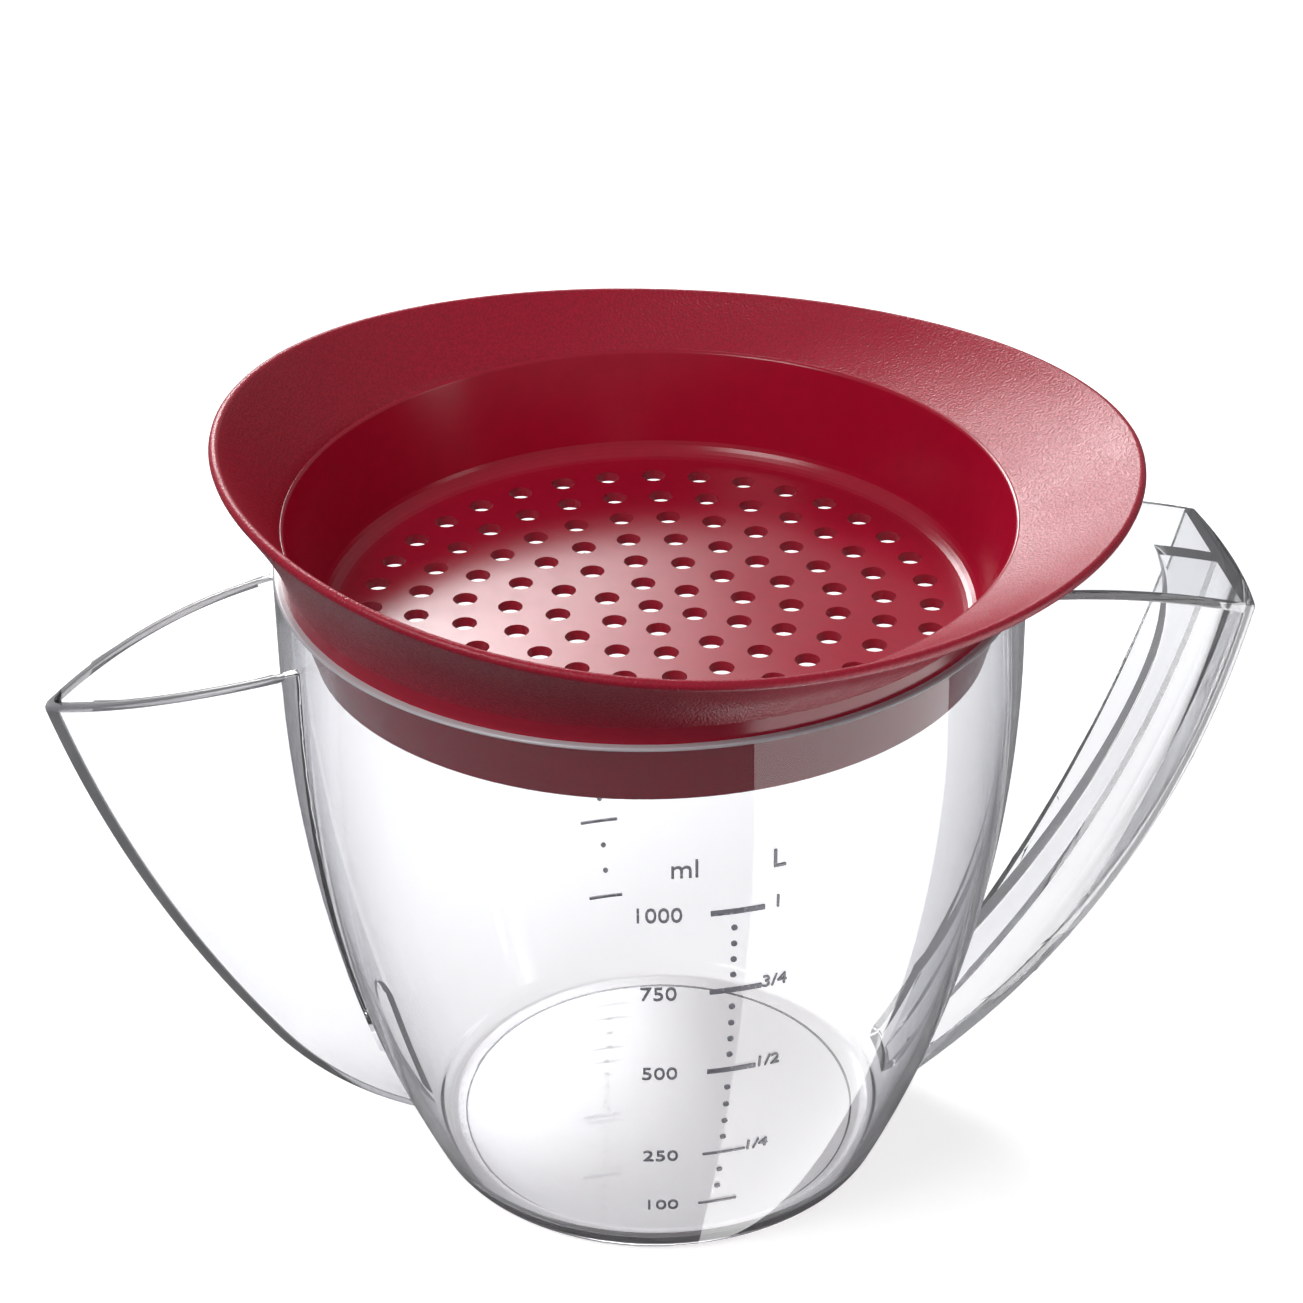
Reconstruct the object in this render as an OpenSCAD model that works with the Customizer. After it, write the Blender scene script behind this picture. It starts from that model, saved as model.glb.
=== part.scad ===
// Gravy fat separator: a clear moulded jug with a low-drawing spout and a looped handle, and a
// lift-out strainer with a wide tilted catching flange. Millimetres, +Z up. The origin is the
// centre of the jug's foot. +X points to the handle, -X to the spout, and y = 0 is the mirror plane.

/* [Jug] */
// Outer radius of the jug at its rim
rim_radius = 69; // [64:0.5:74]
// Height of the jug's rim above the table
jug_height = 128; // [118:1:140]
// Height at which the wall starts to curve in towards the foot
curve_start = 110; // [104:0.5:116]
// Radius of that curve, seen from the side
wall_arch = 259; // [220:1:320]
// Thickness of the clear walls
wall = 2.2; // [1.8:0.1:2.8]
// Thickness of the jug's floor
base_thickness = 3.2; // [2.6:0.1:4.5]
// Radius of the round under the wall
foot_round = 3.5; // [2.5:0.1:5]
// Radius of the fillet between wall and floor inside
floor_fillet = 5; // [3:0.5:8]
// Width of the ring that the jug stands on
foot_ring_width = 3; // [2:0.2:5]
// Depth of the recess inside that ring
foot_recess = 0.8; // [0.4:0.1:1.4]

/* [Spout] */
// Distance from the jug's axis to the spout's tip
spout_reach = 112.2; // [106:0.2:118]
// Height of the spout's tip
spout_tip_height = 107.2; // [100:0.2:112]
// Height of the spout's rim where it meets the jug
spout_rim_height = 119.6; // [114:0.2:124]
// Radius of the gentle arch of the spout's rim
spout_rim_arch = 230; // [150:5:400]
// Half of the spout's greatest width
spout_half_width = 19.3; // [15:0.1:24]
// Distance from the keel to the spout's widest place
spout_depth = 48; // [44:0.5:52]
// Radius of the round along the keel
keel_round = 2.2; // [1.6:0.1:3]
// Thickness of the wall along the keel
keel_wall = 3; // [2.4:0.1:4]
// Slope of the keel at the tip, from the vertical, in degrees
keel_lean = 15.1; // [12:0.1:18]
// Length of the keel's upper, gently curved stretch
keel_upper_length = 86.7; // [78:0.1:92]
// Radius of that upper stretch
keel_upper_radius = 249; // [220:1:300]
// Radius of the keel's lower stretch, which runs into the jug
keel_lower_radius = 64; // [60:1:72]
// Width of the arched passage between jug and spout
passage_width = 18; // [12:0.5:22]
// Height of the top of that passage
passage_top = 36; // [28:0.5:44]

/* [Handle] */
// Height of the arm's top where it leaves the jug
arm_root_height = 122.4; // [116:0.2:126]
// Distance from the jug's axis to the handle's outer corner
corner_reach = 110; // [104:0.5:118]
// Height of the handle's outer corner
corner_height = 115.4; // [108:0.2:120]
// Radius of the arch of the arm's top
arm_arch = 170; // [120:5:300]
// Thickness of the arm
arm_thickness = 2; // [1.6:0.1:3]
// Half of the handle's greatest width
handle_half_width = 19.8; // [15:0.1:22]
// Height at which the handle is widest
handle_widest_height = 100; // [90:1:110]
// Radius of the handle's side edges, seen from the end
handle_flank_radius = 340; // [300:5:500]
// Radius of the grip's face towards the jug
grip_radius = 218.3; // [205:0.5:240]
// Distance from the axis to the foot of that face
grip_foot_reach = 58.9; // [56:0.1:62]
// Height of the foot of that face
grip_foot_height = 20; // [16:0.5:26]
// Height of the handle's lower end above the table
handle_end_height = 6; // [5:0.5:10]
// Thickness of the grip at its side edges
grip_edge = 2; // [1.5:0.1:3]
// Radius of the grip's crowned outer face, across its width
grip_crown_radius = 100; // [80:2:160]
// Thickness of the rib down the middle of the grip
rib_thickness = 4; // [2.5:0.1:6]
// Depth of the rib near the top of the grip
rib_top_depth = 3; // [2:0.1:5]
// Depth of the rib near the jug
rib_foot_depth = 8; // [5:0.2:11]
// Extra depth of the rib where it turns under the arm
rib_gusset = 10; // [6:0.5:14]

/* [Scale] */
// Height of the 100 ml mark
mark_100 = 16.9; // [14:0.1:20]
// Height of the 250 ml mark
mark_250 = 32.8; // [29:0.1:36]
// Height of the 500 ml mark
mark_500 = 56.2; // [52:0.1:60]
// Height of the 750 ml mark
mark_750 = 76.1; // [72:0.1:80]
// Height of the 1000 ml mark
mark_1000 = 93.9; // [90:0.1:98]
// Angle that a long mark covers, in degrees
mark_sweep = 8; // [5:0.5:12]
// Height of the bars from 500 ml up
mark_bar = 1; // [0.6:0.1:1.4]
// Height of the bars below 500 ml
mark_thin_bar = 0.5; // [0.3:0.1:0.8]
// Diameter of the dots between the marks
dot_diameter = 1.1; // [0.8:0.1:1.6]
// How far marks and dots stand out from the wall
mark_relief = 0.35; // [0.2:0.05:0.6]

/* [Strainer] */
// Radius of the round edge where flange and bowl meet
ring_radius = 66.8; // [65.8:0.1:67.2]
// Height of that edge above the table
ring_height = 136.4; // [134:0.1:140]
// Gap between the bowl and the inside of the jug's rim
seat_clearance = 0.35; // [0.2:0.05:0.6]
// Width of the shoulder that rests on the jug's rim
shoulder_width = 1.1; // [0.8:0.1:1.6]
// Depth of the bowl's underside below the jug's rim
bowl_drop = 13.9; // [10:0.1:18]
// How far the bowl's outside tapers in over that depth
bowl_taper = 3.7; // [2.5:0.1:5]
// Thickness of the bowl and its floor
bowl_wall = 2; // [1.6:0.1:2.4]
// Radius of the fillet between the bowl's wall and floor
bowl_fillet = 4; // [2.5:0.5:6]
// Radius of the perforated floor panel
panel_radius = 56; // [54:0.5:57]
// Diameter of a straining hole
hole_diameter = 4.6; // [3:0.1:5.6]
// Distance from one ring of holes to the next
hole_pitch = 8.67; // [8:0.01:9]
// Rings of holes round the middle one
hole_rings = 6; // [3:1:6]

/* [Flange] */
// Reach of the flange towards the handle
flange_reach_handle = 90.4; // [84:0.2:96]
// Reach of the flange towards the spout
flange_reach_spout = 77.3; // [74:0.2:82]
// Half of the flange's width across the jug
flange_half_width = 77.3; // [74:0.2:82]
// Distance of the flange's widest place from the jug's axis
flange_widest = 3; // [0:0.5:8]
// Height of the flange's edge on the handle's side
flange_height_handle = 144.8; // [141:0.2:150]
// Height of the flange's edge on the spout's side
flange_height_spout = 155.2; // [150:0.2:160]
// Height of the flange's edge at both sides
flange_height_side = 145.7; // [142:0.2:150]
// Roundness of the flange's outline towards the handle, where 2 is an ellipse
flange_roundness = 1.91; // [1.8:0.01:2.2]
// Thickness of the flange
flange_thickness = 2; // [1.6:0.1:2.6]
// How far the flange's top dips below a straight slope
flange_sag = 0.6; // [0:0.1:1.5]

/* [Hidden] */
$fn = 96;

clear_colour = [0.88, 0.9, 0.93, 0.45];
red = "crimson";
beyond = 1;               // how far a cutting shape runs past what it cuts
round_steps = 6;          // straight stretches in a small round
sweep_margin = 8;         // degrees that the spout's sweep runs past its rim
keel_end_angle = 80;      // slope of the keel, from the vertical, where it ends inside the jug
join_lap = 0.6;           // degrees that the keel's lower stretch starts inside the upper one
join_inset = 0.02;        // how far the lower stretch is set in there
mark_angle = -91;         // where the long marks start round the jug, in degrees
dot_angle = -87.5;        // where the dots stand round the jug, in degrees
minor_step = 50;          // millilitres from one dot to the next
mark_root = 0.001;        // how far the foot of a bar or dot sinks into the wall
flange_sections = 96;     // sections round the flange
flange_steps = 5;         // stretches across the flange

// ---- jug ----

// Centre of the wall's curve, as [distance from the axis, height]
arch_centre = [rim_radius - wall_arch, curve_start];

// Outer radius of the jug at height z
function jug_r(z) = z > curve_start ? rim_radius
                    : arch_centre.x + sqrt(pow(wall_arch, 2) - pow(curve_start - z, 2));

foot_radius = jug_r(0);

// Slope of the wall from the vertical at height z
function wall_slope(z) = z > curve_start ? 0 : asin((curve_start - z) / wall_arch);

// Centre of a round that touches the level z and, from inside, the curve that lies inset in the wall
function round_centre(z, r, inset) =
    let (across = wall_arch - inset - r, down = curve_start - z - r)
    [arch_centre.x + sqrt(pow(across, 2) - pow(down, 2)), z + r];

function round_slope(z, r, inset) = asin((curve_start - z - r) / (wall_arch - inset - r));

// Points of that round. Its last stretch runs on, and so crosses the wall's curve where they touch
function round_points(z, r, inset) =
    let (centre = round_centre(z, r, inset), slope = round_slope(z, r, inset),
         points = [for (i = [0 : round_steps])
             let (a = -90 + (90 - slope) * i / round_steps)
             centre + r * [cos(a), sin(a)]],
         last = points[round_steps], before = points[round_steps - 1])
    [for (i = [0 : round_steps - 1]) points[i], last + (last - before)];

// Half of the jug's upright section, inset in the wall, from the level z up to the level top
module jug_section(z, r, inset, top) {
    rim = rim_radius - inset;
    intersection() {
        translate(arch_centre) circle(wall_arch - inset, $fn = 720);
        polygon(concat([[0, z]], round_points(z, r, inset),
                       [[rim + beyond, curve_start / 2], [rim + beyond, curve_start], [0, curve_start]]));
    }
    translate([0, curve_start]) square([rim, top - curve_start]);
}

foot_flat_r = round_centre(0, foot_round, 0).x;

module jug_outside()
    rotate_extrude() jug_section(0, foot_round, 0, jug_height);

module jug_inside()
    rotate_extrude() jug_section(base_thickness, floor_fillet, wall, jug_height + beyond);

module jug_wall()
    color(clear_colour)
        difference() {
            jug_outside();
            jug_inside();
            cylinder(r = rim_radius, h = base_thickness);
            passage();
        }

module jug_base()
    color(clear_colour)
        difference() {
            intersection() {
                jug_outside();
                cylinder(r = rim_radius, h = base_thickness);
            }
            translate([0, 0, -beyond])
                cylinder(r = foot_flat_r - foot_ring_width, h = beyond + foot_recess);
        }

// ---- spout ----

// Centre of the arc of radius r from p to q, on the right-hand side of that way
function arc_centre(p, q, r) =
    let (chord = q - p, half = norm(chord) / 2, across = [chord.y, -chord.x] / (2 * half))
    (p + q) / 2 + across * sqrt(r * r - half * half);

function heading(a) = [cos(a), sin(a)];

keel_turn = keel_upper_length / keel_upper_radius * 180 / PI;
keel_join_angle = keel_lean + keel_turn;
keel_upper_centre = [-spout_reach, spout_tip_height] + keel_upper_radius * heading(keel_lean);
keel_join = keel_upper_centre - keel_upper_radius * heading(keel_join_angle);
keel_lower_centre = keel_join + keel_lower_radius * heading(keel_join_angle);
spout_rim_centre = arc_centre([-spout_reach, spout_tip_height], [-rim_radius, spout_rim_height],
                              spout_rim_arch);

// Leaf-shaped section of the spout: a round nose at x = 0 and two arched flanks
module leaf(nose, half_width, depth) {
    flank = (pow(depth - nose, 2) + pow(half_width, 2) - pow(nose, 2)) / (2 * (half_width - nose));
    tangent = nose - nose * (depth - nose) / (flank - nose);
    translate([nose, 0]) circle(nose);
    intersection() {
        translate([depth, half_width - flank]) circle(flank, $fn = 360);
        translate([depth, flank - half_width]) circle(flank, $fn = 360);
        translate([tangent, -half_width]) square([depth - tangent, 2 * half_width]);
    }
}

// The spout's wall, set in from its outside by inset and thinner by twice that
module spout_section(inset = 0)
    difference() {
        translate([inset, 0]) leaf(keel_round, spout_half_width - inset, spout_depth - inset);
        channel_section(inset);
    }

module channel_section(inset = 0)
    translate([keel_wall - inset, 0])
        leaf(keel_round / 2, spout_half_width - wall + inset, spout_depth - keel_wall + inset + beyond);

// Sweep of a section along one arc of the keel
module keel_sweep(centre, radius, from, to)
    translate([centre.x, 0, centre.y])
        rotate([90, 0, 0])
            rotate([0, 0, 180 + from])
                rotate_extrude(angle = to - from, $fn = 240)
                    translate([radius, 0]) mirror([1, 0]) children();

// Two children: the section of the upper stretch and that of the lower one, which starts inside it
module along_keel() {
    keel_sweep(keel_upper_centre, keel_upper_radius, keel_lean - sweep_margin, keel_join_angle)
        children(0);
    keel_sweep(keel_lower_centre, keel_lower_radius, keel_join_angle - join_lap, keel_end_angle)
        children(1);
}

// A disc across the jug's mirror plane, as thick as the whole jug is wide
module disc_across(centre, radius)
    translate([centre.x, rim_radius, centre.y])
        rotate([90, 0, 0]) cylinder(r = radius, h = 2 * rim_radius, $fn = 360);

module spout()
    color(clear_colour)
        difference() {
            intersection() {
                along_keel() {
                    spout_section();
                    spout_section(join_inset);
                }
                disc_across(spout_rim_centre, spout_rim_arch);
            }
            jug_outside();
        }

module arch_along_x(width, top, length)
    rotate([90, 0, -90])
        linear_extrude(length) {
            translate([-width / 2, 0]) square([width, top - width / 2]);
            translate([0, top - width / 2]) circle(width / 2);
        }

module passage()
    intersection() {
        along_keel() {
            channel_section();
            channel_section(join_inset);
        }
        translate([-foot_radius + wall * 3, 0, 0]) arch_along_x(passage_width, passage_top, rim_radius);
    }

// ---- handle ----

arm_centre = arc_centre([rim_radius, arm_root_height], [corner_reach, corner_height], arm_arch);
grip_centre = arc_centre([corner_reach - grip_edge, corner_height],
                         [grip_foot_reach, grip_foot_height], grip_radius);
grip_crown = grip_edge + grip_crown_radius
             - sqrt(pow(grip_crown_radius, 2) - pow(handle_half_width, 2));

// Outline of the handle, seen along X, run along X from the jug's axis outwards
module handle_outline()
    rotate([90, 0, 90])
        linear_extrude(2 * corner_reach)
            intersection() {
                translate([handle_half_width - handle_flank_radius, handle_widest_height])
                    circle(handle_flank_radius, $fn = 360);
                translate([handle_flank_radius - handle_half_width, handle_widest_height])
                    circle(handle_flank_radius, $fn = 360);
                translate([-rim_radius, handle_end_height]) square([2 * rim_radius, jug_height]);
            }

module arm_plate()
    difference() {
        disc_across(arm_centre, arm_arch);
        disc_across(arm_centre, arm_arch - arm_thickness);
    }

module handle_arm()
    color(clear_colour)
        difference() {
            intersection() {
                arm_plate();
                disc_across(grip_centre, grip_radius);
                handle_outline();
                translate([0, -rim_radius, corner_height - corner_reach / 2])
                    cube([2 * corner_reach, 2 * rim_radius, corner_reach]);
            }
            jug_outside();
        }

// Plano-convex section of the grip, swept about the centre of its inner face
module grip_sweep()
    translate([grip_centre.x, 0, grip_centre.y])
        rotate([90, 0, 0])
            rotate([0, 0, -60])
                rotate_extrude(angle = 60, $fn = 240)
                    intersection() {
                        translate([grip_radius + grip_crown - grip_crown_radius, 0])
                            circle(grip_crown_radius, $fn = 360);
                        translate([grip_radius, -handle_half_width - beyond])
                            square([2 * grip_crown, 2 * (handle_half_width + beyond)]);
                    }

module handle_grip()
    color(clear_colour)
        difference() {
            intersection() {
                grip_sweep();
                disc_across(arm_centre, arm_arch);
                handle_outline();
            }
            jug_outside();
        }

// Depth of the rib from the top (t = 0) to the foot (t = 1) of the grip
function rib_depth(t) = rib_top_depth + (rib_foot_depth - rib_top_depth) * t
                        + rib_gusset * pow(1 - t, 12);

rib_top_angle = atan2(corner_height - grip_centre.y, corner_reach - grip_centre.x);
rib_foot_angle = atan2(-grip_centre.y, foot_radius - grip_centre.x);
rib_steps = 24;

module rib_outline()
    polygon(concat(
        [for (i = [0 : rib_steps])
            let (a = rib_top_angle + (rib_foot_angle - rib_top_angle) * i / rib_steps)
            grip_centre + (grip_radius - rib_depth(i / rib_steps)) * heading(a)],
        [grip_centre + (grip_radius + beyond) * heading(rib_foot_angle),
         grip_centre + (grip_radius + beyond) * heading((rib_top_angle + rib_foot_angle) / 2)
             * (1 + beyond / grip_radius),
         grip_centre + (grip_radius + beyond) * heading(rib_top_angle)]));

module handle_rib()
    color(clear_colour)
        difference() {
            intersection() {
                translate([0, rib_thickness / 2, 0])
                    rotate([90, 0, 0]) linear_extrude(rib_thickness) rib_outline();
                disc_across(grip_centre, grip_radius);
                disc_across(arm_centre, arm_arch - arm_thickness);
                handle_outline();
            }
            jug_outside();
        }

// ---- scale ----

// Volume, height and bar of each mark
marks = [[100, mark_100, mark_thin_bar], [250, mark_250, mark_thin_bar], [500, mark_500, mark_bar],
         [750, mark_750, mark_bar], [1000, mark_1000, mark_bar]];

// Raised bar that follows the wall at height z
module scale_bar(z, bar)
    rotate([0, 0, mark_angle])
        rotate_extrude(angle = mark_sweep)
            polygon([for (corner = [[-mark_root, -1], [mark_relief, -1], [mark_relief, 1], [-mark_root, 1]])
                let (level = z + corner.y * bar / 2)
                [jug_r(level) + corner.x, level]]);

module scale_dot(z)
    rotate([0, 0, dot_angle])
        translate([jug_r(z), 0, z])
            rotate([0, 90 + wall_slope(z), 0])
                translate([0, 0, -mark_root])
                    cylinder(d = dot_diameter, h = mark_root + mark_relief, $fn = 24);

module scale() {
    for (mark = marks) scale_bar(mark[1], mark[2]);
    for (k = [1 : len(marks) - 1])
        let (low = marks[k - 1], high = marks[k], count = (high[0] - low[0]) / minor_step)
        for (i = [1 : count - 1])
            scale_dot(low[1] + (high[1] - low[1]) * i / count);
}

module scale_front() color(clear_colour) scale();
module scale_back() color(clear_colour) rotate([0, 0, 180]) scale();

// ---- strainer ----

seat_radius = rim_radius - wall - seat_clearance;
neck_radius = seat_radius + shoulder_width;
bowl_bottom = jug_height - bowl_drop;
bowl_floor = bowl_bottom + bowl_wall;
bowl_foot_radius = seat_radius - bowl_taper;
bowl_edge_round = bowl_wall / 2;
ridge_round = 0.8;

bowl_lean = atan((ring_radius - bowl_foot_radius + bowl_wall) / (ring_height - bowl_floor));
fillet_centre = [ring_radius - (ring_height - bowl_floor - bowl_fillet) * tan(bowl_lean)
                 - bowl_fillet / cos(bowl_lean), bowl_floor + bowl_fillet];

function arc_points(centre, r, from, to, steps) =
    [for (i = [0 : steps]) centre + r * heading(from + (to - from) * i / steps)];

module strainer_bowl()
    color(red)
        rotate_extrude()
            polygon(concat(
                [[panel_radius, bowl_floor], [panel_radius, bowl_bottom]],
                arc_points([bowl_foot_radius - bowl_edge_round, bowl_bottom + bowl_edge_round],
                           bowl_edge_round, -90, 0, round_steps),
                [[seat_radius, jug_height], [neck_radius, jug_height], [neck_radius, ring_height]],
                arc_points([ring_radius + ridge_round / 2, ring_height - ridge_round],
                           ridge_round, 90, 180 - bowl_lean, round_steps),
                arc_points(fillet_centre, bowl_fillet, -bowl_lean, -90, round_steps)));

module strainer_floor()
    color(red)
        translate([0, 0, bowl_bottom])
            difference() {
                cylinder(r = panel_radius, h = bowl_wall);
                translate([0, 0, -beyond]) cylinder(d = hole_diameter, h = bowl_wall + 2 * beyond);
                for (ring = [1 : hole_rings])
                    for (i = [0 : 6 * ring - 1])
                        rotate([0, 0, 60 * (i + 0.5 * (ring % 2)) / ring])
                            translate([ring * hole_pitch, 0, -beyond])
                                cylinder(d = hole_diameter, h = bowl_wall + 2 * beyond, $fn = 32);
            }

// ---- flange ----

function signed_power(v, e) = sign(v) * pow(abs(v), e);

// Outer edge of the flange at angle a
function edge_point(a) =
    let (towards_handle = cos(a) > 0,
         reach = towards_handle ? flange_reach_handle - flange_widest
                                : flange_reach_spout + flange_widest,
         roundness = towards_handle ? flange_roundness : 2,
         tilt = (flange_height_handle - flange_height_spout) / 2,
         level = (flange_height_handle + flange_height_spout) / 2,
         mean = (level + flange_height_side) / 2)
    [flange_widest + reach * signed_power(cos(a), 2 / roundness),
     flange_half_width * signed_power(sin(a), 2 / roundness),
     mean + tilt * cos(a) + (level - mean) * cos(2 * a)];

function bezier(p, q, r, t) = p * pow(1 - t, 2) + q * 2 * t * (1 - t) + r * pow(t, 2);

// Section of the flange at angle a, as points [distance outwards, height]
function flange_section(reach, height) =
    let (edge = [reach, height - ring_height],
         along = edge / norm(edge),
         down = [along.y, -along.x] * flange_thickness,
         top_mid = edge / 2 + down * flange_sag / flange_thickness,
         root_out = neck_radius - ring_radius - beyond,
         foot = [root_out, jug_height + shoulder_width - ring_height],
         foot_mid = [neck_radius - ring_radius + shoulder_width / 2, shoulder_width / 2],
         tip_round = flange_thickness / 2,
         tip = edge + down / 2 - along * tip_round)
    concat(
        [[root_out, 0]],
        [for (i = [1 : flange_steps]) bezier([0, 0], top_mid, edge - along * tip_round, i / flange_steps)],
        [for (a = [60, 0, -60]) tip + tip_round * (along * cos(a) - down / flange_thickness * sin(a))],
        [for (i = [flange_steps : -1 : 0])
            bezier(foot, foot_mid, edge - along * tip_round + down, i / flange_steps)]);

function flange_ring(a) =
    let (edge = edge_point(a),
         root = ring_radius * heading(a),
         way = [edge.x, edge.y] - root)
    [for (p = flange_section(norm(way), edge.z))
        let (at = root + way / norm(way) * p.x)
        [at.x, at.y, ring_height + p.y]];

module flange_loft() {
    rings = [for (i = [0 : flange_sections - 1]) flange_ring(360 * i / flange_sections)];
    count = len(rings[0]);
    points = [for (ring = rings) each ring];
    faces = [for (i = [0 : flange_sections - 1]) for (j = [0 : count - 1])
        let (next_i = (i + 1) % flange_sections, next_j = (j + 1) % count,
             a = i * count + j, b = next_i * count + j,
             c = next_i * count + next_j, d = i * count + next_j)
        each [[a, b, c], [a, c, d]]];
    polyhedron(points, faces);
}

module strainer_flange()
    color(red)
        difference() {
            flange_loft();
            translate([0, 0, jug_height - beyond])
                cylinder(r = neck_radius, h = flange_height_spout - jug_height);
        }

jug_wall();
jug_base();
spout();
handle_arm();
handle_grip();
handle_rib();
scale_front();
scale_back();
strainer_bowl();
strainer_floor();
strainer_flange();
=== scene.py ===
import math

import bmesh
import bpy
import numpy as np
from mathutils import Matrix, Vector

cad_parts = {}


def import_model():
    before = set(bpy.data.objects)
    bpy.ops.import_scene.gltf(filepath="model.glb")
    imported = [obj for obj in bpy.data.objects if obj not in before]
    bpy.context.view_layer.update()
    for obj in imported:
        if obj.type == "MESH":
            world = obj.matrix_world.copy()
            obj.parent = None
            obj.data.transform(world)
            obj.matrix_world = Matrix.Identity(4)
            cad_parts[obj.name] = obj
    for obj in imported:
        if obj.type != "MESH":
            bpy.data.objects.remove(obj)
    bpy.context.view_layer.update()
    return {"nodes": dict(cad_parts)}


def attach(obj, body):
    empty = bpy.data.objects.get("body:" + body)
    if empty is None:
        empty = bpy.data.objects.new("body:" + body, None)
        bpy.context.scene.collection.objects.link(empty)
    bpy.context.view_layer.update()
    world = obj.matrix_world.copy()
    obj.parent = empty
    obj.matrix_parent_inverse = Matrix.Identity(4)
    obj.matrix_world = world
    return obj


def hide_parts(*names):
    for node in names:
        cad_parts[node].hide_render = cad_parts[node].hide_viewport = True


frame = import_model()

MM = 0.001

# Camera of the photograph
AZIMUTH, ELEVATION, ROLL = -8.943, 30.486, -0.871        # degrees
DISTANCE = 660 * MM
TARGET = Vector((0, 0, 106.3 * MM))
LENS, SENSOR = 97.79, 36                                 # millimetres
NEAR_CLIP, FAR_CLIP = 0.01, 50                           # metres

# Scale on the wall: millilitres and the height of their mark, in millimetres
MARKS = {100: 16.9, 250: 32.8, 500: 56.2, 750: 76.1, 1000: 93.9}
LITRES = {1000: "1", 750: "3/4", 500: "1/2", 250: "1/4"}
HEADING_HEIGHT = 103.6
ML_ANGLE, LITRE_ANGLE = -98.7, -81.0                     # degrees round the jug
ML_SIGN_SHIFT = 4                                        # degrees
LITRE_RAISED = 0.6                                       # millimetres above the mark
DIGIT_HEIGHT, LITRE_DIGIT, UNIT_SIGN = 3.1 * MM, 0.85, 1.2    # the last two are shares of the first
CAPITAL = 0.7                                            # height of a digit as a share of the typeface's
DIGIT_RELIEF, DIGIT_ROOT = 0.35 * MM, 0.05 * MM          # out of the wall and into it


# ---- materials ----

CLEAR_IOR, RED_IOR = 1.45, 1.49

# Tints as (place on the ramp, (red, green, blue))
CLEAR_TINT_AND_EDGE_SHADE = ((0.0, (0.958, 0.961, 0.970)), (0.45, (0.952, 0.955, 0.966)),
              (0.80, (0.885, 0.885, 0.925)), (1.0, (0.66, 0.66, 0.73)))    # from face on to edge on; darker edge on, partly for the longer way through the plastic and partly as painted shade
RELIEF_TINT = ((0.0, (0.38, 0.38, 0.42)), (1.0, (0.58, 0.58, 0.63)))
RED_TINT = ((0.0, (0.42, 0.003, 0.026)), (1.0, (0.51, 0.006, 0.036)))

RED_SUBSURFACE, RED_SUBSURFACE_RADIUS = 0.08, (0.004, 0.001, 0.001)     # the radius in metres


def new_material(name):
    """A material, its tree and the Principled shader on its output."""
    material = bpy.data.materials.new(name)
    material.use_nodes = True
    tree = material.node_tree
    tree.nodes.clear()
    output = tree.nodes.new("ShaderNodeOutputMaterial")
    shader = tree.nodes.new("ShaderNodeBsdfPrincipled")
    tree.links.new(shader.outputs["BSDF"], output.inputs["Surface"])
    return material, tree, shader


def feed(tree, socket, value):
    """Links a socket to an input, or sets a plain value on it."""
    if isinstance(value, bpy.types.NodeSocket):
        tree.links.new(value, socket)
    else:
        socket.default_value = value


def add(tree, kind, **inputs):
    """A node of that kind, with the given values or links on its inputs."""
    node = tree.nodes.new(kind)
    for name, value in inputs.items():
        feed(tree, node.inputs[name.replace("_", " ")], value)
    return node


def noise(tree, scale, detail=4.0):
    """Noise from 0 to 1 that sticks to the object; the scale counts its waves per metre."""
    coordinates = add(tree, "ShaderNodeTexCoord")
    return add(tree, "ShaderNodeTexNoise", Vector=coordinates.outputs["Object"],
               Scale=scale, Detail=detail).outputs["Fac"]


def remap(tree, value, low, high, out_low, out_high):
    """The value, spread from the first range to the second and held inside it."""
    node = add(tree, "ShaderNodeMapRange", Value=value, From_Min=low, From_Max=high,
               To_Min=out_low, To_Max=out_high)
    return node.outputs["Result"]


def maths(tree, operation, a, b):
    """Result of that operation on two values or links."""
    node = tree.nodes.new("ShaderNodeMath")
    node.operation = operation
    for socket, value in zip(node.inputs, (a, b)):
        feed(tree, socket, value)
    return node.outputs[0]


def ramp(tree, value, stops):
    """Colour that follows the value through the stops, first to last."""
    node = add(tree, "ShaderNodeValToRGB", Fac=value)
    elements = node.color_ramp.elements
    for element, (place, tint) in zip(elements, (stops[0], stops[-1])):
        element.position, element.color = place, (*tint, 1)
    for place, tint in stops[1:-1]:
        elements.new(place).color = (*tint, 1)
    return node.outputs["Color"]


def mix(tree, share, first, second):
    """Shader that goes from the first to the second as the share goes from 0 to 1."""
    node = add(tree, "ShaderNodeMixShader", Fac=share)
    tree.links.new(first.outputs[0], node.inputs[1])
    tree.links.new(second.outputs[0], node.inputs[2])
    return node


def cover(tree, shader, colour, roughness, height, strength, distance):
    """Gives the shader its colour, its roughness and a bump of that height."""
    bump = add(tree, "ShaderNodeBump", Strength=strength, Distance=distance, Height=height)
    tree.links.new(colour, shader.inputs["Base Color"])
    tree.links.new(roughness, shader.inputs["Roughness"])
    tree.links.new(bump.outputs["Normal"], shader.inputs["Normal"])


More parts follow.
